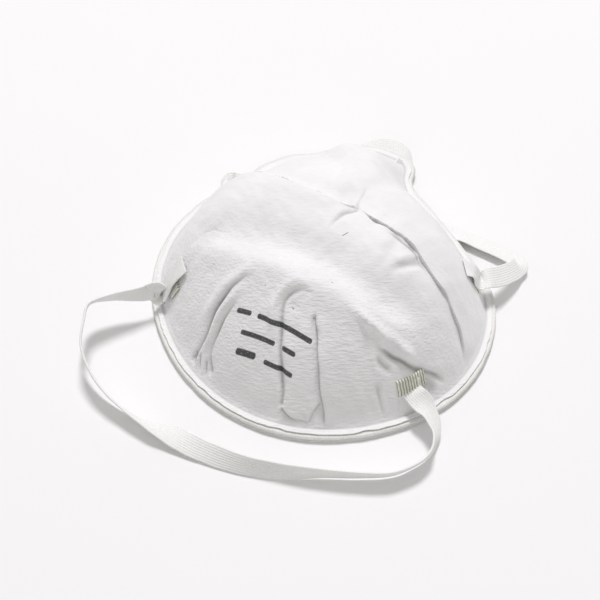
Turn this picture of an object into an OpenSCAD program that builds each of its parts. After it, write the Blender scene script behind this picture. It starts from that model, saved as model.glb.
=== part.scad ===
// Disposable cup dust mask with two welded elastic head straps.
// The cup is a laminate of four moulded sheets. Each sheet has its own dome and its own
// flat flange, and the flanges lie stacked at the rim, where the real mask is welded.
// Frame: origin at the centre of the rim plane, +Z up through the dome, +Y to the nose.

/* [Cup] */
// Width of the rim, cheek to cheek
rim_w = 118; // [112:1:124]
// Length of the rim, chin to nose
rim_l = 124; // [120:1:130]
// Height of the dome above the rim plane
cup_h = 41; // [38:1:48]
// How much wider the chin half of the rim is than the nose half
rim_lean = 2; // [0:0.5:3]
// How far the rim is drawn in between the nose, cheek and chin
rim_taper = 1.1; // [0:0.1:1.5]
// How far the rim is pinched in on each side of the nose
nose_pinch = 10.6; // [8:0.2:12]
// Angle from the nose at which the pinch sets in
nose_tip_angle = 17; // [15:0.5:19]
// Angle from the nose at which the pinch has faded out
pinch_end = 75; // [66:1:76]
// Fullness of the dome over the nose: higher is boxier
nose_fullness = 2.2; // [2:0.1:2.6]
// Fullness of the dome over the cheeks
cheek_fullness = 3.8; // [3.2:0.1:4.2]
// Fullness of the dome over the chin
chin_fullness = 3; // [2.6:0.1:3.6]

/* [Flange] */
// Width of the flat flange around the dome
flange_w = 4.2; // [3.5:0.1:5]
// How far the outer cover is trimmed back from the edge of the lining
cover_trim = 1.1; // [0.6:0.1:1.5]
// How far the two middle sheets are trimmed back from the edge of the lining
middle_trim = 0.4; // [0.2:0.1:0.5]

/* [Sheets] */
// Thickness of the spunbond outer cover
cover_t = 0.4; // [0.3:0.05:0.5]
// Thickness of the needle-felt support shell
shell_t = 1; // [0.8:0.1:1.2]
// Thickness of the meltblown filter layer
filter_t = 0.4; // [0.3:0.05:0.5]
// Thickness of the inner lining
lining_t = 0.4; // [0.3:0.05:0.5]
// Slack of the outer cover over the support shell
cover_slack = 1.2; // [1.1:0.1:1.5]
// Gap between sheets that lie against each other
sheet_gap = 0.05; // [0.05:0.01:0.08]

/* [Nose piece] */
// Thickness of the aluminium nose clip
clip_t = 0.7; // [0.5:0.1:0.8]
// Half of the angle that the nose clip spans, seen from above
clip_half_angle = 54; // [42:6:60]
// Thickness of the nose foam
foam_t = 3; // [2:0.5:4]
// Half of the angle that the nose foam spans, seen from above
foam_half_angle = 48; // [36:6:54]

/* [Straps] */
// Width of the elastic strap
strap_w = 7; // [6:0.5:8]
// Thickness of the elastic strap
strap_t = 0.8; // [0.6:0.1:1.2]
// Distance from the upper weld pads to the far end of the upper strap
upper_reach = 64; // [60:1:66]
// Distance from the lower weld pads to the far end of the lower strap
lower_reach = 51; // [48:1:54]
// Radius of the two wide bends of each strap
strap_bend_r = 38; // [36:1:40]
// Radius of the tight bend where a strap turns away from the cup
strap_turn_r = 3; // [2.5:0.5:4]
// Y of the axis through the two upper weld pads
upper_axis_y = 17; // [16:0.5:18]
// Y of the axis through the two lower weld pads
lower_axis_y = -30; // [-31:0.5:-29]
// Height of both strap axes above the rim plane
axis_z = 12; // [11:0.5:12.5]

/* [Weld pads] */
// Length of a weld pad along the rim
pad_l = 10.6; // [9.5:0.1:11]
// Width of a weld pad up the wall of the cup
pad_w = 5.7; // [5:0.1:6]
// Thickness of a weld pad between its ribs
pad_t = 0.5; // [0.4:0.1:0.8]
// Number of ribs pressed into a weld pad
pad_ribs = 10; // [8:1:11]
// Height of the ribs
rib_h = 0.3; // [0.2:0.1:0.4]

/* [Hidden] */

// Mesh of the dome: steps around the rim, and rings from the flange up to the crown
steps = 60;
rings = 12;
step_angle = 360 / steps;

// Powers with which the pinch sets in beside the nose and fades out towards the cheek
tip_power = 4;
fade_power = 1.1;

// A face of a sheet is [depth below the dome's outer face, height of its flange]
lining_in = [cover_t + cover_slack + shell_t + filter_t + lining_t + 2 * sheet_gap, 0];
lining_out = [lining_in[0] - lining_t, lining_t];
filter_in = [lining_out[0] - sheet_gap, lining_out[1] + sheet_gap];
filter_out = [filter_in[0] - filter_t, filter_in[1] + filter_t];
shell_in = [filter_out[0] - sheet_gap, filter_out[1] + sheet_gap];
shell_out = [shell_in[0] - shell_t, shell_in[1] + shell_t];
cover_in = [cover_t, shell_out[1] + sheet_gap];
cover_out = [0, cover_in[1] + cover_t];

// The nose clip lies midway in the slack under the outer cover
clip_share = (1 - clip_t / cover_slack) / 2;
clip_out = cover_in + clip_share * (shell_out - cover_in);
clip_in = shell_out - clip_share * (shell_out - cover_in);
foam_out = [lining_in[0] + sheet_gap, -sheet_gap];
foam_in = [lining_in[0] + foam_t, -foam_t];
// Rings that bound the nose clip and the nose foam
clip_rings = [4, 5];
foam_rings = [3, 5];

// The legs of the straps stand just outside the rim at the weld pads
strap_half_w = rim_w / 2 - 1;
// Room between a weld pad and the cup, and between a strap and its pads
pad_lift = 0.15;
strap_gap = 0.3;
rib_pitch = pad_l / pad_ribs;
rib_w = rib_pitch / 2;
// Steps for the slope of the dome, and the turn between the points of a strap's bend
small_angle = 0.5;
small_share = 0.005;
bend_step = 7.5;

// How far the rim is pinched in at an angle measured from the nose
function pinch(angle) =
    let (off = acos(cos(angle)))
    off >= pinch_end ? 0
    : nose_pinch * pow(1 - off / pinch_end, fade_power)
      * (1 - exp(-pow(off / nose_tip_angle, tip_power)));

// Radius of the rim, at an angle measured from the nose
function rim_r(angle) =
    (rim_w + rim_l) / 4
    + (rim_l - rim_w) / 4 * cos(2 * angle)
    - rim_lean * (cos(angle) - cos(3 * angle))
    - rim_taper * (1 - cos(4 * angle))
    - pinch(angle);

// Power of the dome's profile at an angle from the nose
function fullness(angle) =
    let (end = cos(angle) > 0 ? nose_fullness : chin_fullness)
    cheek_fullness + (end - cheek_fullness) * abs(cos(angle));

// Share of the radius at a ring: 1 at the flange and 0 at the crown
function ring_share(ring) = cos(90 * ring / rings);

// A point at a radius and an angle from the nose
function polar(radius, angle, z) = [radius * sin(angle), radius * cos(angle), z];

// A point on the dome, on one face of a sheet
function dome_point(angle, share, face) = polar(
    share * (rim_r(angle) - flange_w - face[0]), angle,
    face[1] + (cup_h - face[0] - face[1]) * (1 - pow(share, fullness(angle))));

// Every point of one face of a sheet: the flange's edge, the dome's rings, then the crown
function sheet_points(face, trim) = concat(
    [for (i = [0 : steps - 1]) polar(rim_r(i * step_angle) - trim, i * step_angle, face[1])],
    [for (ring = [0 : rings - 1]) for (i = [0 : steps - 1])
        dome_point(i * step_angle, ring_share(ring), face)],
    [[0, 0, cup_h - face[0]]]);

// The two triangles of a four-sided patch
function patch(a, b, c, d) = [[a, b, c], [a, c, d]];
function flat_list(lists) = [for (list = lists) for (item = list) item];

// One laminate sheet: a closed solid between its outer face and its inner face
module sheet(outer, inner, trim) {
    crown = (rings + 1) * steps;
    next = function (i) (i + 1) % steps;
    outer_patches = flat_list([for (row = [0 : rings - 1]) for (i = [0 : steps - 1])
        patch(row * steps + i, row * steps + next(i),
              (row + 1) * steps + next(i), (row + 1) * steps + i)]);
    outer_crown = [for (i = [0 : steps - 1]) [rings * steps + i, rings * steps + next(i), crown]];
    outer_faces = concat(outer_patches, outer_crown);
    inner_faces = [for (f = outer_faces) [f[2], f[1], f[0]] + [1, 1, 1] * (crown + 1)];
    edge_faces = flat_list([for (i = [0 : steps - 1])
        patch(crown + 1 + i, crown + 1 + next(i), next(i), i)]);
    polyhedron(
        points = concat(sheet_points(outer, trim), sheet_points(inner, trim)),
        faces = concat(outer_faces, inner_faces, edge_faces));
}

// A strip that follows the dome around the nose, between two rings
module nose_strip(outer, inner, half_angle, ring_pair) {
    cols = round(2 * half_angle / step_angle);
    rows = ring_pair[1] - ring_pair[0];
    width = rows + 1;
    count = (cols + 1) * width;
    grid = function (face) [for (i = [0 : cols]) for (row = [0 : rows])
        dome_point(i * step_angle - half_angle, ring_share(ring_pair[0] + row), face)];
    cells = [for (i = [0 : cols - 1]) for (row = [0 : rows - 1]) i * width + row];
    outer_faces = flat_list([for (c = cells) patch(c, c + width, c + width + 1, c + 1)]);
    inner_faces = [for (f = outer_faces) [f[2], f[1], f[0]] + [1, 1, 1] * count];
    long_sides = flat_list([for (i = [0 : cols - 1]) let (low = i * width, high = low + rows)
        concat(patch(low + count, low + width + count, low + width, low),
               patch(high, high + width, high + width + count, high + count))]);
    short_sides = flat_list([for (row = [0 : rows - 1]) let (first = row, last = cols * width + row)
        concat(patch(first, first + 1, first + 1 + count, first + count),
               patch(last + count, last + 1 + count, last + 1, last))]);
    polyhedron(
        points = concat(grid(outer), grid(inner)),
        faces = concat(outer_faces, inner_faces, long_sides, short_sides));
}

// The share of the radius at which the dome's outer face reaches the strap axis
function axis_share(angle) =
    pow(1 - (axis_z - cover_out[1]) / (cup_h - cover_out[1]), 1 / fullness(angle));

// The angle from the nose at which that point has a given y, found by repeated correction
function axis_angle(y, guess = 90, tries = 12) =
    tries == 0 ? guess
    : axis_angle(y, acos(y / norm_xy(dome_point(guess, axis_share(guess), cover_out))), tries - 1);
function norm_xy(p) = norm([p[0], p[1]]);

// Outward normal of the dome's outer face at an angle, at the height of the strap axis
function axis_normal(angle) =
    let (share = axis_share(angle),
         along = dome_point(angle + small_angle, share, cover_out)
               - dome_point(angle - small_angle, share, cover_out),
         up = dome_point(angle, share - small_share, cover_out)
            - dome_point(angle, share + small_share, cover_out),
         n = cross(up, along))
    n / norm(n);

// One ribbed weld pad, flat against the wall of the cup at an angle from the nose
module weld_pad(angle) {
    n = axis_normal(angle);
    heading = atan2(n[0], n[1]);
    slope = acos(n[2]);
    translate(dome_point(angle, axis_share(angle), cover_out) + pad_lift * n)
        rotate([0, 0, -heading])
            rotate([-slope, 0, 0]) {
                translate([-pad_l / 2, -pad_w / 2, 0])
                    cube([pad_l, pad_w, pad_t]);
                for (i = [0 : pad_ribs - 1])
                    translate([-pad_l / 2 + (i + 0.25) * rib_pitch, -pad_w / 2, 0])
                        cube([rib_w, pad_w, pad_t + rib_h]);
            }
}

// The largest x that the weld pad at an angle reaches
function pad_reach_x(angle) =
    let (n = axis_normal(angle), heading = atan2(n[0], n[1]), slope = acos(n[2]))
    dome_point(angle, axis_share(angle), cover_out)[0]
    + pad_l / 2 * abs(cos(heading))
    + pad_w / 2 * sin(heading) * cos(slope)
    + (pad_lift + pad_t + rib_h) * n[0];

// One side of a strap seen from above: from its weld pad, around the tight turn, along the
// wide bend and up to the middle. The side lies at a distance outside the strap's centre line.
function strap_side(start_x, reach, outside) = concat(
    [[start_x, -outside]],
    [for (angle = [0 : bend_step : 90])
        [strap_half_w - strap_turn_r, strap_turn_r]
        + (strap_turn_r + outside) * [sin(angle), -cos(angle)]],
    [for (angle = [0 : bend_step : 90])
        [strap_half_w - strap_bend_r, reach - strap_bend_r]
        + (strap_bend_r + outside) * [cos(angle), sin(angle)]]);
function backwards(list) = [for (i = [len(list) - 1 : -1 : 0]) list[i]];
function mirrored(points) = [for (p = points) [-p[0], p[1]]];

// A whole strap: a loop that leaves one weld pad and comes back to the other, on its edge.
// It slopes down from the axis so that its far end rests level with the rim plane.
module strap_loop(start_x, reach) {
    droop = asin((axis_z - strap_w / 2) / (reach + strap_w / 4));
    outside = strap_side(start_x, reach, strap_t / 2);
    inside = strap_side(start_x, reach, -strap_t / 2);
    translate([0, 0, axis_z])
        rotate([-droop, 0, 0])
            linear_extrude(strap_w, center = true)
                polygon(concat(
                    outside, backwards(mirrored(outside)), mirrored(inside), backwards(inside)));
}

upper_angle = axis_angle(upper_axis_y);
lower_angle = axis_angle(lower_axis_y);

// Spunbond cover: the loose, wrinkled outside of the mask
module outer_cover() {
    color("whitesmoke")
        sheet(cover_out, cover_in, cover_trim);
}

// Needle-felt shell that gives the cup its shape
module support_shell() {
    color("white")
        sheet(shell_out, shell_in, middle_trim);
}

// Meltblown filter medium
module filter_layer() {
    color("lavender")
        sheet(filter_out, filter_in, middle_trim);
}

// Soft lining against the face; its flange is the underside of the rim
module inner_lining() {
    color("gainsboro")
        sheet(lining_out, lining_in, 0);
}

// Soft aluminium strip that is pinched over the nose
module nose_clip() {
    color("silver")
        nose_strip(clip_out, clip_in, clip_half_angle, clip_rings);
}

// Foam strip that seals the bridge of the nose
module nose_foam() {
    color("lightgray")
        nose_strip(foam_out, foam_in, foam_half_angle, foam_rings);
}

// Crown strap, swinging about the upper weld pads
module upper_strap() {
    color("snow")
        translate([0, upper_axis_y, 0])
            strap_loop(pad_reach_x(upper_angle) + strap_gap, upper_reach);
}

// Neck strap, swinging about the lower weld pads
module lower_strap() {
    color("snow")
        translate([0, lower_axis_y, 0])
            mirror([0, 1, 0])
                strap_loop(pad_reach_x(lower_angle) + strap_gap, lower_reach);
}

// The four pads that hold the strap ends to the cup
module upper_left_weld_pad() {
    color("linen")
        weld_pad(-upper_angle);
}

module upper_right_weld_pad() {
    color("linen")
        weld_pad(upper_angle);
}

module lower_left_weld_pad() {
    color("linen")
        weld_pad(-lower_angle);
}

module lower_right_weld_pad() {
    color("linen")
        weld_pad(lower_angle);
}

outer_cover();
support_shell();
filter_layer();
inner_lining();
nose_clip();
nose_foam();
upper_strap();
lower_strap();
upper_left_weld_pad();
upper_right_weld_pad();
lower_left_weld_pad();
lower_right_weld_pad();
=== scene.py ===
import math

import bpy
import numpy as np
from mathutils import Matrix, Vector
from mathutils.bvhtree import BVHTree


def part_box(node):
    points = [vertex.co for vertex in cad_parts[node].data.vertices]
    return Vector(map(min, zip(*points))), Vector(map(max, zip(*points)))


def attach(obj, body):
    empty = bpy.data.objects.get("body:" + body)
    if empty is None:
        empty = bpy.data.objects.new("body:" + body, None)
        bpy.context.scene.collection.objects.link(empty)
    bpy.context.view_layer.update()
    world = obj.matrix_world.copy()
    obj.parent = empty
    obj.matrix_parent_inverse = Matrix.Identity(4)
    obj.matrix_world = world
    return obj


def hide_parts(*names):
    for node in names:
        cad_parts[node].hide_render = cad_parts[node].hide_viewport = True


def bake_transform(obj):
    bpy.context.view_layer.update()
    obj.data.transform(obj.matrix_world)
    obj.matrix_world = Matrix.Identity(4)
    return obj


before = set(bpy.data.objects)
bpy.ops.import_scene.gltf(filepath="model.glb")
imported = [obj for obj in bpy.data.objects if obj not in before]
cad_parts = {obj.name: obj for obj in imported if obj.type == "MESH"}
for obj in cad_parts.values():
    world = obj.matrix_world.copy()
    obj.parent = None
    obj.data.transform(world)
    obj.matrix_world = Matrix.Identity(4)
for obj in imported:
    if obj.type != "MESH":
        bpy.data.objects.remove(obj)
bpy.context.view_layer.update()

MM = 0.001


def box_mm(node):
    low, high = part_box(node)
    return np.array(low) / MM, np.array(high) / MM


def centre_mm(node):
    low, high = box_mm(node)
    return (low + high) / 2


# ---------------------------------------------------------------- sizes
COVER_LOW, COVER_HIGH = box_mm("outer_cover")
SHELL_LOW, SHELL_HIGH = box_mm("support_shell")
FILTER_LOW, FILTER_HIGH = box_mm("filter_layer")
LINING_LOW, LINING_HIGH = box_mm("inner_lining")
CROWN = COVER_HIGH[2]
SHELL_T = 1.0
THIN_T = 0.4
STRAP_W = 7.0
STRAP_T = 0.8
STRAP_RIBS = 9
PAD_L, PAD_W = 10.6, 5.9
PAD_RIBS = 11

# The camera looks down at the mask from its chin end, a little from its right
AZIMUTH, ELEVATION = math.radians(27.1), math.radians(55)
TARGET = np.array([-6.2, -10.9, 0.0])
AWAY = np.array([math.sin(AZIMUTH) * math.cos(ELEVATION), -math.cos(AZIMUTH) * math.cos(ELEVATION),
                 math.sin(ELEVATION)])
CAMERA_DISTANCE = 408
EYE = TARGET + AWAY * CAMERA_DISTANCE

# ---------------------------------------------------------------- shape of the moulded cup
FLANGE_W = 4.2
COVER_TRIM = LINING_HIGH[1] - COVER_HIGH[1]
# The sheets under the cover are trimmed together, and the cover is cut back from them
COVER_SETBACK = 0.2
LAYER_TRIM = 0.25
NOSE_FULLNESS = 2.2
CHEEK_FULLNESS = 3.8
CHIN_FULLNESS = 3.0
FOOT_RADIUS = 0.9
# The nose of this mask leans over to its left, most of all half way along it
NOSE_LEAN, TIP_RETURN = -10.0, 5.0
# The nose half of the rim rests on the crown strap, a little above the table
RIM_RISE = 1.3
# How far the trimmed edges of the flange lift
EDGE_CURL = 0.15
# Radius used wherever a share of the dome's radius has to be turned into a length
MEAN_RADIUS = 57
# The CAD rim is read off at this many steps, and described by this many cosines
RIM_STEPS = 60
RIM_TERMS = 22


def sheet_faces(low, high, thickness):
    """The two faces of a sheet, each as depth under the dome's outer face and height of flange."""
    depth = CROWN - high[2]
    return (depth, low[2] + thickness), (depth + thickness, low[2])


COVER_OUT, COVER_IN = sheet_faces(COVER_LOW, COVER_HIGH, THIN_T)
SHELL_OUT, SHELL_IN = sheet_faces(SHELL_LOW, SHELL_HIGH, SHELL_T)
FILTER_OUT, FILTER_IN = sheet_faces(FILTER_LOW, FILTER_HIGH, THIN_T)
LINING_OUT, LINING_IN = sheet_faces(LINING_LOW, LINING_HIGH, THIN_T)
COVER_RISE = CROWN - COVER_OUT[1]

# How far the loose cover can sink before it meets the shell, and how gently it stops there
SLACK = SHELL_OUT[0] - COVER_IN[0] - 0.1
BOTTOMING = 0.12


def rim_waves(count):
    """The CAD rim's radius at an angle from the nose, as a sum of cosines."""
    co = np.array([v.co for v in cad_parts["inner_lining"].data.vertices]) / MM
    low = co[co[:, 2] < 0.01]
    angle = np.arctan2(low[:, 0], low[:, 1])
    radius = np.hypot(low[:, 0], low[:, 1])
    bins = np.round(angle / (math.tau / RIM_STEPS)).astype(int) % RIM_STEPS
    outer = np.array([radius[bins == b].max() for b in range(RIM_STEPS)])
    steps = np.arange(RIM_STEPS) * math.tau / RIM_STEPS
    return [outer.mean()] + [2 * np.mean(outer * np.cos(k * steps)) for k in range(1, count)]


RIM = rim_waves(RIM_TERMS)


def rim_r(angle):
    return sum(c * np.cos(k * angle) for k, c in enumerate(RIM))


def fullness(angle):
    """Exponent of the dome's profile in a direction: the higher, the fuller the dome."""
    end = np.where(np.cos(angle) > 0, NOSE_FULLNESS, CHIN_FULLNESS)
    return CHEEK_FULLNESS + (end - CHEEK_FULLNESS) * np.abs(np.cos(angle))


# ---------------------------------------------------------------- helpers for curves and noise
def smooth(t):
    t = np.clip(t, 0, 1)
    return t * t * (3 - 2 * t)


def spline(points, per_span=12):
    """A Catmull-Rom curve through the points, with any number of values per point."""
    p = np.array(points, float)
    p = np.vstack([2 * p[0] - p[1], p, 2 * p[-1] - p[-2]])
    rows = []
    t = np.arange(per_span)[:, None] / per_span
    for a, b, c, d in zip(p[:-3], p[1:-2], p[2:-1], p[3:]):
        rows.append(0.5 * (2 * b + (c - a) * t + (2 * a - 5 * b + 4 * c - d) * t ** 2
                           + (3 * b - a - 3 * c + d) * t ** 3))
    return np.vstack(rows + [p[-2:-1]])


def across(points, x, y, reach=14):
    """Signed distance from a plan curve (positive on its left), share of its length, and the unit
    vector towards its left, for each point of the plan. Points beyond reach get a large distance."""
    curve = spline([p[:2] for p in points])
    step = np.diff(curve, axis=0)
    length = np.concatenate([[0], np.cumsum(np.hypot(step[:, 0], step[:, 1]))])
    tangent = np.gradient(curve, axis=0)
    tangent /= np.linalg.norm(tangent, axis=1)[:, None]
    low, high = curve.min(0) - reach, curve.max(0) + reach
    near = (x > low[0]) & (x < high[0]) & (y > low[1]) & (y < high[1])
    dist = np.full(x.shape, 1e3)
    share = np.zeros(x.shape)
    left = np.zeros(x.shape + (2,))
    px, py = x[near], y[near]
    gap2 = (px[:, None] - curve[None, :, 0]) ** 2 + (py[:, None] - curve[None, :, 1]) ** 2
    k = gap2.argmin(1)
    # Slide along the tangent to the true foot of the perpendicular, inside the curve only
    rel = np.stack([px, py], 1) - curve[k]
    slide = (rel * tangent[k]).sum(1)
    slide = np.where((k == 0) & (slide < 0), 0, slide)
    slide = np.where((k == len(curve) - 1) & (slide > 0), 0, slide)
    side = tangent[k][:, 0] * rel[:, 1] - tangent[k][:, 1] * rel[:, 0]
    foot = curve[k] + slide[:, None] * tangent[k]
    gap = np.hypot(px - foot[:, 0], py - foot[:, 1])
    dist[near] = np.where(side >= 0, gap, -gap)
    share[near] = (length[k] + slide) / length[-1]
    left[near] = np.stack([-tangent[k][:, 1], tangent[k][:, 0]], 1)
    return dist, np.clip(share, 0, 1), left


def fade(share, start=0.2, end=0.2):
    """1 along a curve and 0 at its ends. A start or end of 0 leaves that end at full strength."""
    w = np.ones_like(share)
    if start:
        w = w * smooth(share / start)
    if end:
        w = w * smooth((1 - share) / end)
    return w


def bell(d, width):
    return np.exp(-(d / width) ** 2)


def ripple(x, y, wavelength, seed, stretch=1.0, count=9):
    """Smooth, repeatable noise of about unit size. Stretch above 1 draws it out along X."""
    rng = np.random.default_rng(seed)
    total = np.zeros_like(x)
    for _ in range(count):
        turn = rng.uniform(0, math.tau)
        k = math.tau / (wavelength * rng.uniform(0.7, 1.4))
        total += np.cos(k * (x * math.cos(turn) / stretch + y * math.sin(turn)) + rng.uniform(0, math.tau))
    return total * math.sqrt(2 / count)


# ---------------------------------------------------------------- moulded ridge, valley and crown
# Curves in plan, seen from above. The crown is a crest in two halves that meet at its apex.
RIDGE = [(-46, -25), (-38, -24), (-24, -26), (-12, -27), (0, -27), (12, -27), (24, -26), (35, -23.5),
         (43, -20)]
VALLEY = [(-46, -20), (-38, -18.5), (-24, -17.5), (-10, -17), (4, -17), (18, -18), (30, -18.5), (43, -16)]
CREST_LEFT = [(-52, 8), (-44, 9.2), (-37, 8.8), (-31, 7.5), (-24, 6.1), (-18.6, 4.9), (-13.9, 4.2),
              (-6.7, 4), (0.8, 3.8), (6.2, 4.4)]
CREST_RIGHT = [(6.2, 5), (9.2, 4), (12.2, 3), (19.4, 2.2), (27.2, 1), (32.8, -1.7), (37.4, -3.4),
               (42.3, -4.8), (47.6, -7), (51, -9), (54, -12)]
APEX_FRONT = [(6.5, 3.6), (4.5, 0), (3, -4), (2, -9)]
APEX_NOSE = [(6.4, 4.5), (5.6, 9), (5, 15)]


RIDGE_HEIGHT, RIDGE_WIDTH = 1.7, 4.5
VALLEY_DEPTH, VALLEY_WIDTH = 3.6, 6.5
CREST_HEIGHT, CREST_WIDTH = 1.2, 7
PANEL_DEPTH, PANEL_WIDTH, PANEL_OFFSET = 2.8, 6, 2
DIP_DEPTH, DIP_WIDTH = 1.4, 6
# Share of the radius, in from the foot, over which the moulding fades out
MOULD_FADE = 0.12


def moulded(x, y):
    """Height that the moulded ridge, valley and crown add to the plain dome. All sheets share it."""
    d, t, _ = across(RIDGE, x, y, 24)
    z = RIDGE_HEIGHT * bell(d, RIDGE_WIDTH) * fade(t, 0.15, 0.1)
    d, t, _ = across(VALLEY, x, y, 30)
    z = z - VALLEY_DEPTH * bell(d, VALLEY_WIDTH) * fade(t, 0.25, 0.15)
    # In front of the crest the dome bulges, and behind it the nose panel falls away
    d, t, _ = across(CREST_LEFT, x, y, 30)
    band = np.where(d < 0, CREST_HEIGHT * bell(d, CREST_WIDTH), 0)
    panel = -PANEL_DEPTH * bell(np.maximum(d, 0) - PANEL_OFFSET, PANEL_WIDTH)
    z = z + (band + panel * smooth(d / 2 + 0.5)) * fade(t, 0.2, 0.1)
    d, t, _ = across(CREST_RIGHT, x, y, 30)
    z = z - DIP_DEPTH * bell(d, DIP_WIDTH) * fade(t, 0, 0.25)
    return z


def dome_height(rise, share, angle):
    """Height of the plain dome over its flange, eased into the flange by a rounded foot."""
    wall = rise * (1 - share ** fullness(angle))
    return 0.5 * (wall + np.sqrt(wall ** 2 + FOOT_RADIUS ** 2))


def sheet_point(angle, share, face):
    """A point on one face of a sheet. A share above 1 lies on the flange."""
    depth, flange_z = face
    foot = rim_r(angle) - FLANGE_W
    # A deeper sheet is narrower on the dome, and reaches the same edge again out on the flange
    out_on_flange = np.clip((share - 1) * foot / (0.9 * FLANGE_W), 0, 1)
    radius = share * foot - np.minimum(share, 1) * depth * (1 - out_on_flange)
    z = flange_z + dome_height(CROWN - depth - flange_z, share, angle) * smooth((1.1 - share) / 0.1)
    x, y = radius * np.sin(angle), radius * np.cos(angle)
    px, py = share * foot * np.sin(angle), share * foot * np.cos(angle)
    z = z + moulded(px, py) * smooth((1 - share) / MOULD_FADE)
    off_nose = np.abs(np.arctan2(np.sin(angle), np.cos(angle)))
    near_nose = smooth((math.radians(62) - off_nose) / math.radians(14))
    z = z + RIM_RISE * near_nose * smooth((share - 0.6) / 0.35)
    x = x + NOSE_LEAN * smooth((y - 18) / 28) + TIP_RETURN * smooth((y - 50) / 12)
    return np.stack([x, y, z], -1), px, py


# ---------------------------------------------------------------- loose folds of the outer cover
def groove(points, depth, width, start=0.25, end=0.25, dark=0.0):
    """A furrow along a curve. Start and end are the shares of its length over which it fades. Dark is how
    much shade is painted along its floor.
    """
    return {"kind": "groove", "at": points, "depth": depth, "width": width,
            "ends": (start, end), "dark": dark}


def roll(points, height, width, start=0.25, end=0.25):
    """A raised, rounded wrinkle along a curve."""
    return groove(points, -height, width, start, end)


def lip(points, lift, over, dip, reach, start=0.2, end=0.2, edge=0.5, dark=0.0):
    """The cover on the left of the curve laps over the cover on its right. Dark is how much shade is
    painted at the foot of the lap.
    """
    return {"kind": "lip", "at": points, "lift": lift, "over": over, "dip": dip, "reach": reach,
            "ends": (start, end), "edge": edge, "dark": dark}


# The chin's folds, from the mask's left to its right
BIG_FOLD = [(-13.2, -30), (-15.6, -32.6), (-18.2, -35.2), (-20.4, -38.4), (-21.4, -42), (-22.2, -45.4),
            (-23.8, -48.6), (-26, -51)]
BIG_RIDGE = [(-11.5, -29), (-15.4, -30.6), (-19.2, -33.4), (-22.2, -37), (-23.8, -41), (-24.8, -45)]
SECOND_FOLD = [(-13.4, -36), (-15.2, -38.6), (-16.8, -41.6), (-17.9, -45), (-18.3, -48.5), (-17.6, -51.5),
               (-15.9, -54)]
SECOND_RIDGE = [(-13, -32.4), (-15.6, -35.4), (-17.8, -38.6), (-19.4, -42.4), (-19.9, -46), (-19.9, -49.5)]
ARCH = [(9.5, -29.6), (6, -29.6), (3.2, -30.6), (1.3, -32.4), (0.5, -35), (1, -38), (2.4, -41),
        (4.8, -45.5), (7.4, -50), (9.6, -54.5)]
ARCH_RIDGE = [(7.5, -28), (3, -28.4), (-0.4, -30.2), (-2.2, -33), (-2.4, -36), (-1.2, -39.2),
              (0.6, -42.4), (3.6, -47.5)]
ARCH_HOLLOW = [(x + 2.9, y) for x, y in ARCH[3:8]]
FOLD_B = [(10.4, -33), (13.1, -37.1), (15.1, -40), (17.6, -44), (20.2, -47.5), (22.9, -51), (24.2, -53.4)]
NOTCH_LEFT = [(9.4, -54.6), (11.8, -54.8), (14.4, -54.5), (16.6, -54), (18.5, -53.5)]
NOTCH_RIGHT = [(18.4, -53.6), (18.8, -51.9), (19.7, -50.2), (20.9, -48.6)]
RIDGE_RIGHT = [(17, -27), (22.5, -27.8), (28, -28), (33, -27.6), (38, -26.6), (42.5, -25)]
UNDER_RIDGE = [(29.5, -31.4), (34, -30.6), (38.5, -29.2), (42.5, -27.4), (47, -24.6), (51.5, -20.5)]
LEFT_POCKET = [(-28, -17.2), (-34, -18.2), (-37.2, -19.8), (-40, -22.8), (-41.8, -26.5), (-42, -30)]

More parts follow.
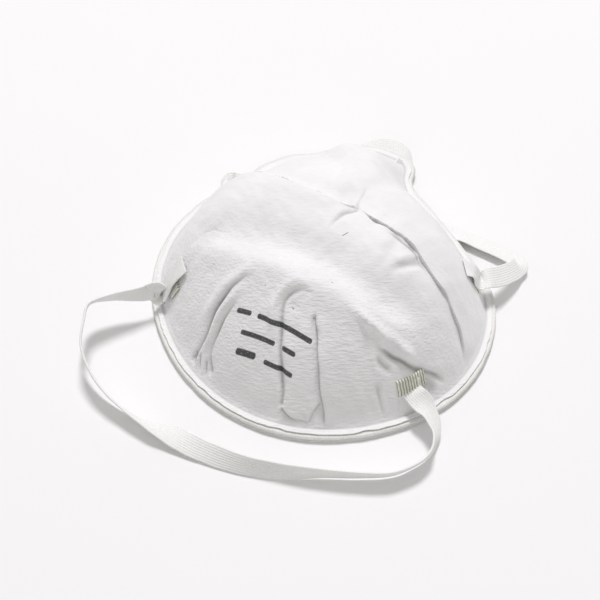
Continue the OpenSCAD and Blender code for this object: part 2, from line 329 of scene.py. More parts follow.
FOLDS = [
    lip(CREST_LEFT, 0.5, 0.3, 0.4, 4, 0.3, 0.02, 0.25, 0.35),
    lip(CREST_RIGHT, 0.7, 0.6, 0.5, 4.5, 0.15, 0.1, 0.25, 0.5),
    groove([(17, 1.2), (22, 0.6), (27, -0.4), (32, -2.8), (36, -4.2)], 0.6, 0.7, 0.3, 0.3, 0.5),
    groove(APEX_FRONT, 0.7, 0.8, 0, 0.6, 0.35),
    groove(APEX_NOSE, 0.4, 0.7, 0, 0.6, 0.25),
    groove(BIG_FOLD, 1.2, 0.8, 0.35, 0.05, 0.6),
    roll(BIG_RIDGE, 1.0, 1.9, 0.2, 0.3),
    groove(SECOND_FOLD, 0.9, 0.6, 0.3, 0.1, 0.35),
    roll(SECOND_RIDGE, 1.1, 1.3, 0.3, 0.15),
    groove(ARCH, 1.0, 0.8, 0.5, 0.02, 0.55),
    roll(ARCH_RIDGE, 1.2, 1.5, 0.25, 0.4),
    groove(ARCH_HOLLOW, 0.5, 2.2, 0.2, 0.4),
    lip(FOLD_B, 0.8, 0.5, 0.9, 3.2, 0.15, 0.02, 0.3, 0.5),
    groove(FOLD_B[:4], 0.9, 0.9, 0.2, 0.6, 0.35),
    lip(NOTCH_LEFT, 0.4, 0.4, 0.7, 1.8, 0.05, 0.05, 0.3, 0.7),
    lip(NOTCH_RIGHT, 0.3, 0.3, 0.8, 2.0, 0.05, 0.3, 0.3, 0.45),
    roll(RIDGE_RIGHT, 1.9, 1.3, 0.3, 0.15),
    groove(UNDER_RIDGE, 1.3, 0.9, 0.25, 0.2, 0.5),
    lip(LEFT_POCKET, 0.8, 0.5, 1.0, 3.0, 0.25, 0.1, 0.4, 0.35),
    groove([(-22.6, -48.8), (-21, -53)], 0.8, 0.5, 0.3, 0.1, 0.4),
    groove([(-19.6, -50.2), (-18.2, -54)], 0.7, 0.45, 0.3, 0.1, 0.35),
    groove([(-25, -48.4), (-23.8, -51.6)], 0.9, 0.5, 0.3, 0.1, 0.6),
    groove([(30.6, -33.4), (34, -33.2), (37.4, -32.6)], 0.7, 0.8, 0.3, 0.3, 0.25),
    groove([(33.6, -37), (36.8, -39.4), (40, -41.6)], 0.6, 0.8, 0.3, 0.3, 0.2),
    groove([(32.6, -1.6), (29.4, -6.2), (26.6, -9.8), (23.8, -13.4)], 1.0, 1.4, 0.02, 0.5, 0.2),
    roll([(30.5, -0.5), (27.5, -5), (25, -8.5)], 0.6, 1.6, 0.1, 0.4),
    groove([(22.6, 1.2), (22.3, -5.5), (21.4, -10.5), (19.8, -13.5)], 0.8, 1.9, 0.05, 0.5, 0.08),
    groove([(44.8, -28.4), (47.6, -26.8), (50.4, -25.2)], 1.6, 1.7, 0.15, 0.3, 0.6),
    groove([(46, -25.6), (49, -27), (51, -28.4)], 0.9, 0.8, 0.2, 0.3, 0.35),
    groove([(30, 22), (37, 19.5), (43, 17.5), (48, 14.5)], 0.5, 1.4, 0.3, 0.2, 0.1),
]


SWELL_SEED, WANDER_SEED = 60, 90


def cover_detail(points, x, y, share):
    """The cover's own folds and puckers, added to its outer face, and the shade painted into its
    creases at each point."""
    normal = form_normal(x, y)
    crease_shade = np.zeros(x.shape)
    push = np.zeros(x.shape)
    shift = np.zeros(x.shape + (3,))
    live = smooth((1.0 - share) / 0.03)
    for i, f in enumerate(FOLDS):
        d, t, left = across(f["at"], x, y)
        # A fold swells, thins and wanders a little along its length
        w = fade(t, *f["ends"]) * live * np.clip(1 + 0.18 * ripple(x, y, 9, SWELL_SEED + i), 0.5, 1.4)
        d = d + 0.16 * ripple(x, y, 8, WANDER_SEED + i)
        if f["kind"] == "groove":
            push -= w * f["depth"] * bell(d, f["width"])
            # Painted shade along the floor of the furrow
            crease_shade = np.maximum(crease_shade, w * f["dark"] * bell(d, f["width"] * 0.6))
            continue
        # Painted shade at the foot of the lap, on the side it covers
        crease_shade = np.maximum(crease_shade, w * f["dark"] * bell(d + 0.8 * f["edge"], f["edge"] * 0.8))
        k = smooth((d / f["edge"] + 1) / 2)
        push += w * (k * f["lift"] * bell(d, f["reach"]) - (1 - k) * f["dip"] * bell(d, f["reach"] * 0.6))
        along = np.concatenate([left, np.zeros(x.shape + (1,))], -1)
        along -= (along * normal).sum(-1)[..., None] * normal
        along /= np.maximum(np.linalg.norm(along, axis=-1), 1e-6)[..., None]
        shift -= (w * k * f["over"] * bell(d, f["reach"]))[..., None] * along
    pucker = 0.10 * ripple(x, y, 15, 1) + 0.05 * ripple(x, y, 6, 2) + 0.025 * ripple(x, y, 2.6, 3, 2.0)
    push += live * pucker
    # However deep a fold is drawn, the cover stops at the felt shell under it
    push = np.logaddexp(0, (push + SLACK) / BOTTOMING) * BOTTOMING - SLACK
    return points + push[..., None] * normal + shift, crease_shade


def form_normal(x, y):
    """Outward unit normal of the moulded form, by small steps of the plan."""
    small = 0.05

    def height(px, py):
        angle = np.arctan2(px, py)
        s = np.hypot(px, py) / (rim_r(angle) - FLANGE_W)
        return dome_height(COVER_RISE, s, angle) + moulded(px, py) * smooth((1 - s) / MOULD_FADE)

    dzdx = (height(x + small, y) - height(x - small, y)) / (2 * small)
    dzdy = (height(x, y + small) - height(x, y - small)) / (2 * small)
    n = np.stack([-dzdx, -dzdy, np.ones_like(x)], -1)
    return n / np.linalg.norm(n, axis=-1)[..., None]


# ---------------------------------------------------------------- meshes of the four sheets
def grid_faces(cols, rows):
    """The quads of a grid of points, and the loop of points around its edge."""
    index = np.arange((cols + 1) * (rows + 1)).reshape(cols + 1, rows + 1)
    quads = np.stack([index[:-1, :-1], index[1:, :-1], index[1:, 1:], index[:-1, 1:]], -1)
    loop = np.concatenate([index[:-1, 0], index[-1, :-1], index[:0:-1, -1], index[0, :0:-1]])
    return quads.reshape(-1, 4), loop


def disc_grid(rings):
    """A square grid wrapped onto a disc: each vertex's ring and angle, the quads, the edge loop."""
    n = 2 * rings
    u, v = np.meshgrid(np.arange(n + 1) - rings, np.arange(n + 1) - rings, indexing="ij")
    ring = np.maximum(np.abs(u), np.abs(v))
    wide = np.abs(u) >= np.abs(v)
    safe = np.maximum(ring, 1)
    eighth = math.pi / 4
    angle = np.where(wide, np.where(u > 0, 2 * eighth - eighth * v / safe, -2 * eighth + eighth * v / safe),
                     np.where(v > 0, eighth * u / safe, 4 * eighth - eighth * u / safe))
    quads, loop = grid_faces(n, n)
    return ring.ravel(), angle.ravel(), quads, loop


def ring_shares(dome_rings):
    """Shares of the radius that space the rings evenly along the dome's profile."""
    s = np.linspace(0, 1, 400)
    z = COVER_RISE * (1 - s ** CHIN_FULLNESS)
    run = np.concatenate([[0], np.cumsum(np.hypot(np.diff(s) * MEAN_RADIUS, np.diff(z)))])
    return np.interp(np.linspace(0, run[-1], dome_rings + 1), run, s)


def edge_wave(angle, seed, size):
    """An uneven wave around the rim, such as a blunt trimming tool leaves."""
    rng = np.random.default_rng(seed)
    total = np.zeros_like(angle)
    for k in (3, 5, 8, 13, 21, 34, 47, 61):
        total += rng.uniform(0.4, 1.0) * np.cos(k * angle + rng.uniform(0, math.tau)) / k ** 0.35
    return size * total / 1.6


def make_mesh(name, vertices, faces):
    mesh = bpy.data.meshes.new(name)
    mesh.from_pydata((np.asarray(vertices) * MM).tolist(), [], [list(map(int, f)) for f in faces])
    mesh.validate()
    mesh.update()
    mesh.polygons.foreach_set("use_smooth", [True] * len(mesh.polygons))
    obj = bpy.data.objects.new(name, mesh)
    bpy.context.scene.collection.objects.link(obj)
    return obj


def closed_mesh(name, top, bottom, quads, loop):
    """A closed solid between two sets of points that share their faces, with a wall at the edge."""
    count = len(top)
    wall = np.stack([loop, loop + count, np.roll(loop, -1) + count, np.roll(loop, -1)], -1)
    return make_mesh(name, np.vstack([top, bottom]), np.vstack([quads, quads[:, ::-1] + count, wall]))


def slab(name, top, bottom, cols, rows):
    """A closed solid between two grids of points, each listed row by row."""
    return closed_mesh(name, top, bottom, *grid_faces(cols, rows))


def sheet(name, out_face, in_face, trim, dome_rings, flange_rings, wave, seed, detail):
    """One laminate sheet as a closed solid, from the crown to the trimmed edge of its flange."""
    ring, angle, quads, loop = disc_grid(dome_rings + flange_rings)
    shares = ring_shares(dome_rings)
    foot = rim_r(angle) - FLANGE_W
    edge_share = (rim_r(angle) - trim - np.abs(edge_wave(angle, seed, wave))) / foot
    on_flange = np.clip((ring - dome_rings) / flange_rings, 0, 1)
    share = shares[np.minimum(ring, dome_rings)] + on_flange * (edge_share - 1)
    outer, px, py = sheet_point(angle, share, out_face)
    inner, _, _ = sheet_point(angle, share, in_face)
    moved = detail(outer, px, py, share, angle, on_flange)
    inner = inner + (moved - outer)
    return closed_mesh(name, moved, inner, quads, loop), moved, quads


# What the cover's material needs to know of each point: how much shade is painted on it in the
# creases and along the weld line, and where it lies in plan before it is folded
COVER_NOTES = {}


def cover_surface(outer, px, py, share, angle, on_flange):
    """The cover's folds, and on its flange a weld line at the foot, a puffed band and a lifted edge."""
    moved, crease_shade = cover_detail(outer, px, py, share)
    weld = bell((share - 1.012) * MEAN_RADIUS, 0.4)
    # The pressed weld line gets a thin line of painted shade too
    COVER_NOTES["crease_shade"] = np.maximum(crease_shade, 0.3 * weld)
    COVER_NOTES["plan"] = np.stack([px, py, np.zeros_like(px)], -1)
    puff = np.sin(np.clip(on_flange, 0, 1) * math.pi) ** 0.8
    curl = on_flange ** 3 * (EDGE_CURL + 0.12 + 0.15 * edge_wave(angle, 21, 0.8))
    moved[:, 2] += curl + 0.15 * puff - 0.3 * weld
    return moved


def flange_curl(size, seed):
    """Curls the trimmed edge of a sheet up from the table, a little unevenly."""

    def detail(outer, px, py, share, angle, on_flange):
        moved = outer.copy()
        moved[:, 2] += on_flange ** 2 * (EDGE_CURL + np.abs(edge_wave(angle, seed, size)))
        return moved

    return detail


COVER_RINGS = 170
COVER_FLANGE_RINGS = 12
HIDDEN_RINGS = 60
HIDDEN_FLANGE_RINGS = 6
cover, cover_points, cover_quads = sheet(
    "loose_outer_cover", COVER_OUT, COVER_IN, COVER_TRIM + COVER_SETBACK,
    COVER_RINGS, COVER_FLANGE_RINGS, 0.7, 11, cover_surface)
shell, _, _ = sheet(
    "felt_support_shell", SHELL_OUT, SHELL_IN, LAYER_TRIM,
    HIDDEN_RINGS, HIDDEN_FLANGE_RINGS, 0.3, 12, flange_curl(0.1, 31))
filter_web, _, _ = sheet(
    "meltblown_filter_web", FILTER_OUT, FILTER_IN, LAYER_TRIM,
    HIDDEN_RINGS, HIDDEN_FLANGE_RINGS, 0.2, 13, flange_curl(0.0, 32))
lining, _, _ = sheet(
    "soft_inner_lining", LINING_OUT, LINING_IN, 0.0,
    HIDDEN_RINGS, HIDDEN_FLANGE_RINGS, 0.1, 14, flange_curl(0.0, 33))
for name, kind, field in (("crease_shade", "FLOAT", "value"), ("plan", "FLOAT_VECTOR", "vector")):
    layer = cover.data.attributes.new(name, kind, "POINT")
    layer.data.foreach_set(field, np.concatenate([COVER_NOTES[name], COVER_NOTES[name]]).ravel())
for piece, node, slot in (
        (cover, "outer_cover", "outer_nonwoven"), (shell, "support_shell", "needle_felt"),
        (filter_web, "filter_layer", "meltblown_filter"), (lining, "inner_lining", "lining_nonwoven")):
    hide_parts(node)

COVER_TREE = BVHTree.FromPolygons([Vector(p) for p in cover_points.tolist()],
                                  [list(map(int, q)) for q in cover_quads])


def on_cover(x, y):
    """The point of the cover straight under a place in plan, and the cover's normal there."""
    hit, normal, _, _ = COVER_TREE.ray_cast(Vector((x, y, 2 * CROWN)), Vector((0, 0, -1)))
    if normal.z < 0:
        normal = -normal
    return np.array(hit), np.array(normal)


# ---------------------------------------------------------------- nose clip and nose foam
STRIP_RADIUS = 50
STRIP_END = 4


def nose_strip(name, node, low_share, high_share, half_angle, out_face, in_face, crown):
    """A strip around the nose between two faces, with rounded ends and rounded long edges."""
    cols, rows = 72, 8
    u = np.linspace(-1, 1, cols + 1)[:, None] * np.ones(rows + 1)
    v = np.ones(cols + 1)[:, None] * np.linspace(-1, 1, rows + 1)
    length = half_angle * STRIP_RADIUS
    into_end = np.clip((np.abs(u) - 1) * length / STRIP_END + 1, 0, 1)
    end_round = np.sqrt(np.clip(1 - into_end ** 2, 0.02, 1))
    share = (low_share + high_share) / 2 + (high_share - low_share) / 2 * v * end_round
    angle = u * half_angle
    edge = np.sqrt(np.clip(1 - np.abs(v) ** 4, 0, 1)) * end_round ** 0.5
    edge = 1 - crown * (1 - edge)
    outer, _, _ = sheet_point(angle, share, out_face)
    inner, _, _ = sheet_point(angle, share, in_face)
    bottom = outer + (inner - outer) * edge[..., None]
    obj = slab(name, outer.reshape(-1, 3), bottom.reshape(-1, 3), cols, rows)
    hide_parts(node)
    return obj


CLIP_HALF, FOAM_HALF = math.radians(54), math.radians(48)
STRIP_TOP, CLIP_FOOT, FOAM_FOOT = 0.793, 0.866, 0.924
# The clip fills the middle of the gap between the cover and the shell
clip_gap = np.array(SHELL_OUT) - np.array(COVER_IN)
clip = nose_strip("pinched_nose_clip", "nose_clip", STRIP_TOP, CLIP_FOOT, CLIP_HALF,
                  np.array(COVER_IN) + 0.2 * clip_gap, np.array(COVER_IN) + 0.8 * clip_gap, 0.2)
inward = np.array([1, -1])
foam = nose_strip("nose_bridge_foam", "nose_foam", STRIP_TOP, FOAM_FOOT, FOAM_HALF,
                  np.array(LINING_IN) + 0.05 * inward, np.array(LINING_IN) + 2.6 * inward, 0.7)


# ---------------------------------------------------------------- weld pads
def add_uv(obj, name, per_vertex):
    layer = obj.data.uv_layers.new(name=name)
    loops = np.zeros(len(obj.data.loops), int)
    obj.data.loops.foreach_get("vertex_index", loops)
    layer.data.foreach_set("uv", per_vertex[loops].ravel())


def weld_pad(name, node):
    """A fused patch that follows the cover, with pressed ribs across it and an uneven edge."""
    middle, normal = on_cover(*centre_mm(node)[:2])
    outward = np.array([normal[0], normal[1], 0]) / math.hypot(normal[0], normal[1])
    along = np.cross([0, 0, 1], outward)
    up = np.cross(normal, along)
    up /= np.linalg.norm(up)
    if up[2] < 0:
        up, along = -up, -along
    cols, rows = PAD_RIBS * 10, 24
    u = np.repeat(np.linspace(-1, 1, cols + 1), rows + 1)
    v = np.tile(np.linspace(-1, 1, rows + 1), cols + 1)
    wobble = np.random.default_rng(len(name)).uniform(0, math.tau, 3)
    ragged = 1 + 0.02 * np.sin(9 * u + wobble[0]) + 0.015 * np.sin(23 * u + wobble[1])
    place = middle + along * (u * PAD_L / 2 * (1 + 0.015 * np.sin(7 * v + wobble[2])))[:, None]
    place = place + up * (v * PAD_W / 2 * ragged)[:, None]
    # The pad is stiff: it follows the cover's broad curve and bridges its folds
    depth = np.full(len(u), np.nan)
    for i in range(0, len(u), 7):
        hit, _, _, _ = COVER_TREE.ray_cast(Vector(place[i] + normal * 8), Vector(-normal))
        if hit is not None:
            depth[i] = (np.array(hit) - place[i]) @ normal
    known = np.abs(depth) < 4
    terms = np.stack([np.ones_like(u), u, v, u * u, u * v, v * v], 1)
    bend, _, _, _ = np.linalg.lstsq(terms[known], depth[known], rcond=None)
    base = place + normal * (terms @ bend)[:, None]
    rib = 0.5 - 0.5 * np.cos(math.tau * PAD_RIBS * (u + 1) / 2)
    rim = np.minimum(1, (1 - np.abs(u)) * 12 + 0.15) * np.minimum(1, (1 - np.abs(v)) * 6 + 0.15)
    top = base + normal * (0.2 + (0.08 + 0.55 * rib ** 1.3) * rim)[:, None]
    bottom = base - normal * 0.5
    obj = slab(name, top, bottom, cols, rows)
    add_uv(obj, "web", np.tile(np.stack([u * PAD_L / 2, v * PAD_W / 2], 1), (2, 1)))
    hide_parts(node)
    return obj


PADS = [weld_pad(f"{end}_{side}_ribbed_pad", f"{end}_{side}_weld_pad")
        for end in ("upper", "lower") for side in ("left", "right")]


# ---------------------------------------------------------------- straps
def unit(v):
    return v / np.maximum(np.linalg.norm(v, axis=-1), 1e-9)[..., None]


STRAP_STEP = 0.6
RIB_HEIGHT = 0.09


def facing(place, tangent):
    """Unit vectors towards the camera and across it, both square to a strap's run."""
    toward = EYE - place
    toward = unit(toward - (toward * tangent).sum(-1)[..., None] * tangent)
    return toward, np.cross(tangent, toward)


def path_turns(places, turns):
    """The turn at each point of a path, in degrees, with the vectors among the turns worked out."""
    runs = unit(np.gradient(places, axis=0))
    turns = list(turns)
    for i in [i for i, turn in enumerate(turns) if not np.isscalar(turn)]:
        toward, aside = facing(places[i:i + 1], runs[i:i + 1])
        turn = math.degrees(math.atan2(toward[0] @ turns[i], -aside[0] @ turns[i]))
        known = [k for k, other in enumerate(turns) if np.isscalar(other)]
        near = turns[min(known, key=lambda k: abs(k - i))]
        # Half a turn more or less looks the same, so the band takes the smaller twist
        turns[i] = turn + 180 * round((near - turn) / 180)
    return turns


def strap(name, node, path):
    """A knitted band along a path of (x, y, z, turn). The turn, in degrees, is how far the band's
    first edge is turned away from the camera: 0 shows the band edge on, 90 shows it face on.
    Where the turn is a vector, the band lies flat on a surface with that normal."""
    places = np.array([p[:3] for p in path], float)
    rows = spline(np.column_stack([places, path_turns(places, [p[3] for p in path])]), 14)
    step = np.linalg.norm(np.diff(rows[:, :3], axis=0), axis=1)
    run = np.concatenate([[0], np.cumsum(step)])
    count = int(run[-1] / STRAP_STEP)
    even = np.linspace(0, run[-1], count)
    centre = np.stack([np.interp(even, run, rows[:, k]) for k in range(3)], 1)
    turn = np.radians(np.interp(even, run, rows[:, 3]))[:, None]
    tangent = unit(np.gradient(centre, axis=0))
    toward, aside = facing(centre, tangent)
    lean = toward * np.cos(turn) + aside * np.sin(turn)
    face = np.cross(tangent, lean)
    # The band rests on the table and never goes through it
    lowest = STRAP_W / 2 * np.abs(lean[:, 2]) + STRAP_T / 2 * np.abs(face[:, 2]) + 0.05
    centre[:, 2] = np.maximum(centre[:, 2], lowest)
    cols = STRAP_RIBS * 4
    u = np.linspace(-1, 1, cols + 1)
    rib = RIB_HEIGHT * np.cos(math.tau * STRAP_RIBS * (u + 1) / 2) * (np.abs(u) < 0.97)
    half = np.sqrt(np.clip(1 - np.abs(u) ** 14, 0.05, 1)) * (STRAP_T / 2 - 0.07) - rib
    # The ends are pressed flat where they run into their weld pads
    pressed = 0.45 + 0.55 * smooth(np.minimum(even, run[-1] - even) / 3)
    half = half[None, :] * pressed[:, None]
    wave = 1 + 0.012 * ripple(even, even * 0, 9, len(name))
    middle = centre[:, None] + lean[:, None] * (u[None, :, None] * STRAP_W / 2 * wave[:, None, None])
    front = middle + face[:, None] * half[..., None]
    back = middle - face[:, None] * half[..., None]
    obj = slab(name, front.reshape(-1, 3), back.reshape(-1, 3), count - 1, cols)
    uv = np.stack(np.broadcast_arrays(u[None, :] * STRAP_W / 2, even[:, None]), -1).reshape(-1, 2)
    add_uv(obj, "band", np.tile(uv, (2, 1)))
    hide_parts(node)
    return obj


def laid(x, y, lift):
    """A path point that lies flat on the cover."""
    place, normal = on_cover(x, y)
    return tuple(place + normal * lift) + (normal,)


# The neck strap runs from its right pad round the front, standing on edge, to its left pad
LOWER_PATH = [
    laid(42.2, -29.8, -0.9),
    laid(43.4, -31.2, -0.3),
    (45.7, -32.7, 9.2, 96),
    (48.2, -33.5, 8.5, 76),
    (51.2, -34.7, 7.2, 46),
    (54.1, -37.0, 5.8, 32),
    (56.3, -40.7, 4.8, 15),
    (56.9, -46.0, 4.3, 4),
    (54.8, -51.8, 4.2, 2),
    (49.5, -58.2, 4.2, 6),
    (41.0, -63.0, 4.2, 12),
    (30.0, -67.8, 4.0, 22),
    (18.6, -72.6, 3.4, 46),
    (6.4, -75.8, 3.0, 60),
    (-7.2, -76.9, 2.6, 84),
    (-17.6, -76.6, 2.4, 118),
    (-25.6, -77.0, 2.9, 160),
    (-35.0, -76.2, 3.9, 178),
    (-43.0, -74.4, 5.6, 180),
    (-50.4, -71.0, 8.0, 180),
    (-57.0, -65.4, 10.8, 180),
    (-60.6, -57.6, 13.0, 180),
    (-62.0, -51.6, 13.6, 178),
    (-57.5, -45.5, 12.4, 163),
    (-52.6, -41.2, 11.2, 146),
    (-49.4, -38.0, 10.4, 132),
    (-47.2, -35.7, 10.6, 122),
    laid(-44.8, -33.2, 1.9),
    laid(-42.4, -30.4, 1.9),
    laid(-39.8, -27.6, 0.5),
]
lower = strap("neck_strap", "lower_strap", LOWER_PATH)
# The crown strap curls back from its right pad, passes under the rim and round the nose, and comes
# back along the rim to its left pad
UPPER_PATH = [
    laid(41.6, 12.4, 0.5),
    laid(43.4, 14.0, 1.5),
    laid(45.8, 16.0, 1.8),
    (48.8, 18.8, 10.6, 70),
    (51.4, 22.0, 9.2, 84),
    (53.6, 26.4, 7.2, 92),
    (54.9, 30.6, 5.2, 104),
    (55.0, 34.0, 3.6, 122),
    (52.2, 36.6, 2.4, 136),
    (46.6, 37.8, 1.8, 142),
    (40.0, 38.2, 1.6, 144),
    (33.0, 38.6, 1.2, 146),
    (25.5, 38.4, 0.5, 130),
    (17.0, 38.0, 0.5, 130),
    (8.0, 43.0, 0.5, 130),
    (2.0, 50.0, 0.5, 130),
    (0.6, 56.0, 0.6, 130),
    (0.6, 60.2, 1.6, 128),
    (-2.4, 63.2, 3.0, 122),
    (-8.5, 62.8, 3.2, 118),
    (-14.4, 58.4, 2.2, 124),
    (-19.0, 52.0, 0.6, 130),
    (-23.0, 45.5, 0.5, 130),
    (-29.0, 38.6, 0.5, 130),
    (-36.0, 33.0, 0.5, 130),
    (-42.0, 28.6, 0.9, 130),
    (-46.4, 25.2, 2.0, 118),
    (-48.8, 21.8, 4.6, 104),
    (-49.2, 18.8, 7.6, 92),
    laid(-47.2, 16.4, 1.4),
    laid(-45.2, 14.6, 0.6),
]
upper = strap("crown_strap", "upper_strap", UPPER_PATH)


# ---------------------------------------------------------------- materials
class Graph:
    """A small helper to write a node material in few lines."""

    def __init__(self, name):
        self.material = bpy.data.materials.new(name)
        self.material.use_nodes = True
        self.tree = self.material.node_tree
        self.shader = self.tree.nodes["Principled BSDF"]

    def node(self, kind, **values):
        made = self.tree.nodes.new(kind)
        for key, value in values.items():
            if key in made.inputs:
                self.feed(made.inputs[key], value)
            else:
                setattr(made, key, value)
        return made

    def feed(self, socket, value):
        if isinstance(value, bpy.types.NodeSocket):
            self.tree.links.new(value, socket)
        else:
            socket.default_value = value

    def place(self, scale=(1, 1, 1)):
        """Object coordinates, in metres."""
        mapping = self.node("ShaderNodeMapping")
        self.feed(mapping.inputs["Vector"], self.node("ShaderNodeTexCoord").outputs["Object"])
        mapping.inputs["Scale"].default_value = scale
        return mapping.outputs["Vector"]

    def along(self, turn, stretch):
        """Object coordinates drawn out along a direction in plan."""
        mapping = self.node("ShaderNodeMapping", vector_type="TEXTURE")
        self.feed(mapping.inputs["Vector"], self.node("ShaderNodeTexCoord").outputs["Object"])
        mapping.inputs["Scale"].default_value = (stretch, 1, 1)
        mapping.inputs["Rotation"].default_value = (0, 0, turn)
        return mapping.outputs["Vector"]

    def axes(self, vector):
        """A node that gives a vector's X, Y and Z on their own."""
        made = self.node("ShaderNodeSeparateXYZ")
        self.feed(made.inputs[0], vector)
        return made

    def bar(self, axes, start, end, radius):
        """1 inside a rounded bar drawn in plan and 0 outside it, with a soft edge."""
        soft = 0.12
        run = (end[0] - start[0], end[1] - start[1])
        square = run[0] ** 2 + run[1] ** 2
        x = self.math("SUBTRACT", axes.outputs["X"], start[0])
        y = self.math("SUBTRACT", axes.outputs["Y"], start[1])
        reach = self.math("ADD", self.math("MULTIPLY", x, run[0] / square),
                          self.math("MULTIPLY", y, run[1] / square))
        held = self.math("MINIMUM", self.math("MAXIMUM", reach, 0.0), 1.0)
        x = self.math("SUBTRACT", x, self.math("MULTIPLY", held, run[0]))
        y = self.math("SUBTRACT", y, self.math("MULTIPLY", held, run[1]))
        gap2 = self.math("ADD", self.math("MULTIPLY", x, x), self.math("MULTIPLY", y, y))
        gap = self.math("SQRT", gap2)
        return self.math("SUBTRACT", 1.0, self.band(gap, radius - soft, radius + soft))

    def noise(self, vector, scale, detail=3.0, roughness=0.55):
        made = self.node("ShaderNodeTexNoise", Scale=scale, Detail=detail, Roughness=roughness)
        self.feed(made.inputs["Vector"], vector)
        return made.outputs["Fac"]

    def mix(self, fac, a, b):
        made = self.node("ShaderNodeMix", data_type="RGBA")
        self.feed(made.inputs[0], fac)
        for socket, value in ((made.inputs[6], a), (made.inputs[7], b)):
            self.feed(socket, value if isinstance(value, bpy.types.NodeSocket) else (*value, 1))
        return made.outputs[2]

    def math(self, operation, a, b=0.0):
        made = self.node("ShaderNodeMath", operation=operation)
        self.feed(made.inputs[0], a)
        self.feed(made.inputs[1], b)
        return made.outputs[0]

    def band(self, value, low, high):
        made = self.node("ShaderNodeMapRange", interpolation_type="SMOOTHSTEP")
        self.feed(made.inputs["Value"], value)
        made.inputs["From Min"].default_value = low
        made.inputs["From Max"].default_value = high
        return made.outputs["Result"]

    def bump(self, height, distance, strength=1.0, under=None):
        made = self.node("ShaderNodeBump", Strength=strength, Distance=distance)
        self.feed(made.inputs["Height"], height)
        if under is not None:
            self.feed(made.inputs["Normal"], under)
        return made.outputs["Normal"]

    def finish(self, colour, roughness, normal, sheen=0.0, **more):
        self.feed(self.shader.inputs["Base Color"], colour)
        self.feed(self.shader.inputs["Roughness"], roughness)
        if normal is not None:
            self.feed(self.shader.inputs["Normal"], normal)
        self.shader.inputs["Sheen Weight"].default_value = sheen
        self.shader.inputs["Specular IOR Level"].default_value = 0.2
        for key, value in more.items():
            self.feed(self.shader.inputs[key.replace("_", " ")], value)
        return self.material


# The creped fibres of the cover lie across the view. Plain ink bars stand where the cover is
# printed, and specks are stray dark fibres and dust. Each has its two ends in plan and its radius.
CREPE_TURN = AZIMUTH
PRINT_BARS = [((-13, -39.6), (-9, -39.6), 0.62), ((-5.6, -39.6), (12, -39.8), 0.62),
              ((-9.4, -44), (1.5, -44), 0.55), ((5, -44.1), (8.6, -44.1), 0.55),
              ((-9, -48), (-3.4, -48), 0.7), ((0.8, -48.2), (9.6, -48.2), 0.5)]
SPECKS = [((7.3, -8.3), (8.3, -6.7), 0.12), ((11.3, -23.6), (11.5, -23.6), 0.16),
          ((3.4, -34.9), (3.8, -35), 0.14), ((10.5, -34.8), (10.7, -34.8), 0.12),
          ((-7.3, -32.2), (-7.1, -32.2), 0.1), ((33, 27.6), (33.4, 27.2), 0.12)]


def cover_material():
    g = Graph("white_nonwoven")
    at = g.place()
    crepe = g.noise(g.along(CREPE_TURN, 3.0), 1200, 2.0, 0.5)
    fibres = g.noise(at, 2600, 4.0, 0.7)
    cloud = g.noise(at, 60, 2.0, 0.5)
    colour = g.mix(g.band(cloud, 0.35, 0.65), (0.86, 0.85, 0.86), (0.90, 0.89, 0.90))
    colour = g.mix(g.math("MULTIPLY", g.band(fibres, 0.35, 0.7), 0.25), colour, (0.80, 0.80, 0.79))
    # Painted shade in the creases and along the weld line
    painted_crease_shade = g.node("ShaderNodeAttribute", attribute_name="crease_shade").outputs["Fac"]
    colour = g.mix(painted_crease_shade, colour, (0.16, 0.15, 0.13))
    # Painted shade in the furrows of the crepe, where its bump is low
    colour = g.mix(g.math("MULTIPLY", g.band(crepe, 0.5, 0.3), 0.10), colour, (0.68, 0.67, 0.65))
    axes = g.axes(g.node("ShaderNodeAttribute", attribute_name="plan").outputs["Vector"])
    worn = g.band(g.noise(at, 3200, 2.0, 0.6), 0.2, 0.42)
    for start, end, radius in PRINT_BARS:
        ink = g.math("MULTIPLY", g.bar(axes, start, end, radius), worn)
        colour = g.mix(g.math("MULTIPLY", ink, 0.93), colour, (0.02, 0.02, 0.022))
    for start, end, radius in SPECKS:
        colour = g.mix(g.math("MULTIPLY", g.bar(axes, start, end, radius), 0.8), colour, (0.07, 0.06, 0.05))
    # The crepe is pressed flatter over the nose
    raised = g.math("ADD", 0.35, g.math("MULTIPLY", g.band(axes.outputs["Y"], -8, -22), 0.65))
    normal = g.bump(g.math("MULTIPLY", crepe, raised), 0.0004, 1.0)
    normal = g.bump(fibres, 0.00005, 0.5, normal)
    return g.finish(colour, 0.85, normal, 0.15)


def plain_cloth(name, light, dark, scale, height):
    g = Graph(name)
    at = g.place()
    fibres = g.noise(at, scale, 4.0, 0.65)
    colour = g.mix(g.band(fibres, 0.35, 0.65), dark, light)
    return g.finish(colour, 0.9, g.bump(fibres, height), 0.1)


STITCH_L = 0.75
STITCH_W = STRAP_W / STRAP_RIBS / 2


def strap_material():
    g = Graph("knitted_elastic")
    axes = g.axes(g.node("ShaderNodeUVMap", uv_map="band").outputs["UV"])
    rows = g.math("SINE", g.math("MULTIPLY", axes.outputs["Y"], math.tau / STITCH_L))
    courses = g.math("SINE", g.math("MULTIPLY", axes.outputs["X"], math.tau / STITCH_W))
    knit = g.math("MULTIPLY", rows, courses)
    fibres = g.noise(g.place(), 1800, 3.0, 0.6)
    colour = g.mix(g.band(fibres, 0.3, 0.7), (0.92, 0.915, 0.90), (0.99, 0.99, 0.985))
    normal = g.bump(knit, 0.00006, 0.8)
    normal = g.bump(fibres, 0.00004, 0.5, normal)
    return g.finish(colour, 0.75, normal, 0.2)


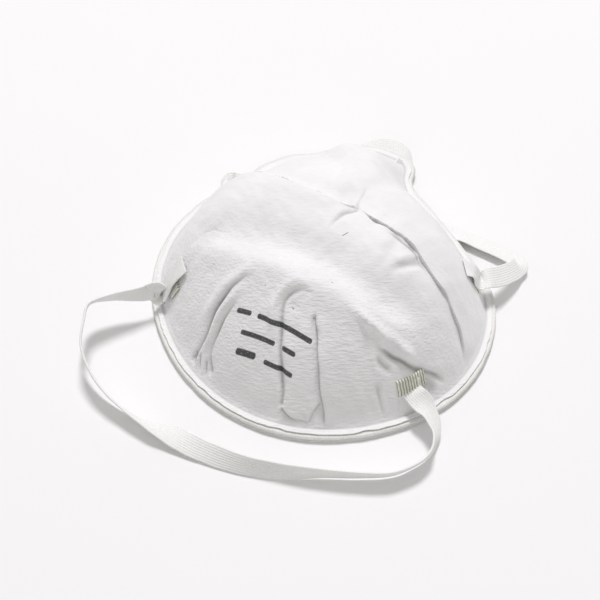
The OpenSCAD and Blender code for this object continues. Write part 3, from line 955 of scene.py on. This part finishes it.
def pad_material():
    g = Graph("fused_web")
    at = g.place()
    melt = g.noise(at, 700, 3.0, 0.6)
    axes = g.axes(g.node("ShaderNodeUVMap", uv_map="web").outputs["UV"])
    # Painted shade in the hollows between the ribs
    phase = math.pi * (PAD_RIBS - 1)
    turn = g.math("MULTIPLY", axes.outputs["X"], math.tau * PAD_RIBS / PAD_L)
    wave = g.math("COSINE", g.math("ADD", turn, phase))
    pressed = g.band(wave, -0.7, 0.2)
    colour = g.mix(g.band(melt, 0.3, 0.7), (0.78, 0.78, 0.70), (0.90, 0.90, 0.84))
    colour = g.mix(pressed, (0.42, 0.43, 0.34), colour)
    return g.finish(colour, 0.5, g.bump(melt, 0.00006))


def clip_material():
    g = Graph("soft_aluminium")
    brushed = g.noise(g.place(scale=(1, 12, 12)), 400, 3.0, 0.6)
    colour = g.mix(g.band(brushed, 0.3, 0.7), (0.66, 0.66, 0.67), (0.80, 0.80, 0.81))
    roughness = g.math("ADD", g.math("MULTIPLY", brushed, 0.2), 0.3)
    return g.finish(colour, roughness, g.bump(brushed, 0.00002), Metallic=1.0)


def foam_material():
    g = Graph("open_cell_foam")
    made = g.node("ShaderNodeTexVoronoi", Scale=1400.0)
    g.feed(made.inputs["Vector"], g.place())
    cells = made.outputs["Distance"]
    # Painted shade in the hollows: darker where the cells' bump is lowest
    colour = g.mix(g.band(cells, 0.1, 0.7), (0.80, 0.80, 0.79), (0.62, 0.62, 0.61))
    return g.finish(colour, 0.95, g.bump(g.math("SUBTRACT", 1.0, cells), 0.0002), 0.1)


def paint(obj, material):
    obj.data.materials.clear()
    obj.data.materials.append(material)


paint(cover, cover_material())
paint(shell, plain_cloth("needle_felt", (0.90, 0.89, 0.87), (0.82, 0.81, 0.78), 1500, 0.00015))
paint(filter_web, plain_cloth("meltblown_web", (0.85, 0.86, 0.88), (0.80, 0.81, 0.84), 2400, 0.00005))
paint(lining, plain_cloth("lining_nonwoven", (0.90, 0.89, 0.88), (0.82, 0.81, 0.79), 1800, 0.0001))
paint(clip, clip_material())
paint(foam, foam_material())
STRAP_CLOTH = strap_material()
for piece in (lower, upper):
    paint(piece, STRAP_CLOTH)
PAD_WEB = pad_material()
for piece in PADS:
    paint(piece, PAD_WEB)

# ---------------------------------------------------------------- what moves with the cup
for piece in [cover, shell, filter_web, lining, clip, foam] + PADS:
    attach(piece, "cup")
for piece, body, way in ((upper, "upper_band", 1), (lower, "lower_band", -1)):
    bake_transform(piece)

# ---------------------------------------------------------------- floor, light and camera
FLOOR_SIZE, FLOOR_GAP = 12.0, 0.0002
VIEW_ANGLE = math.radians(28)
KEY_AWAY = Vector((-0.16, 0.37, 0.915))
KEY_DISTANCE = 2.5
KEY_SIZE, KEY_POWER = 0.6, 37.0
SKY_STRENGTH = 0.5


def floor():
    bpy.ops.mesh.primitive_plane_add(size=FLOOR_SIZE, location=(0, 0, -FLOOR_GAP))
    plane = bpy.context.object
    plane.name = "studio_floor"
    g = Graph("pale_floor")
    colour = g.mix(g.noise(g.place(), 8.0, 2.0), (0.90, 0.90, 0.905), (0.92, 0.915, 0.92))
    paint(plane, g.finish(colour, 0.9, None))


def soft_light(name, place, target, size, power, colour):
    data = bpy.data.lights.new(name, "AREA")
    data.shape = "DISK"
    data.size = size
    data.energy = power
    data.color = colour
    lamp = bpy.data.objects.new(name, data)
    bpy.context.scene.collection.objects.link(lamp)
    lamp.location = place
    lamp.rotation_euler = (Vector(target) - Vector(place)).to_track_quat("-Z", "Y").to_euler()


floor()
soft_light("window", KEY_AWAY * KEY_DISTANCE, (0, 0, 0), KEY_SIZE, KEY_POWER, (1.0, 0.975, 1.0))
world = bpy.data.worlds.new("studio")
world.use_nodes = True
sky = world.node_tree.nodes["Background"]
sky.inputs["Color"].default_value = (1.0, 1.0, 0.97, 1)
sky.inputs["Strength"].default_value = SKY_STRENGTH
bpy.context.scene.world = world
bpy.context.scene.view_settings.view_transform = "Standard"

camera_data = bpy.data.cameras.new("camera")
camera_data.angle = VIEW_ANGLE
camera = bpy.data.objects.new("camera", camera_data)
bpy.context.scene.collection.objects.link(camera)
camera.location = EYE * MM
camera.rotation_euler = Vector(-AWAY).to_track_quat("-Z", "Y").to_euler()
bpy.context.scene.camera = camera
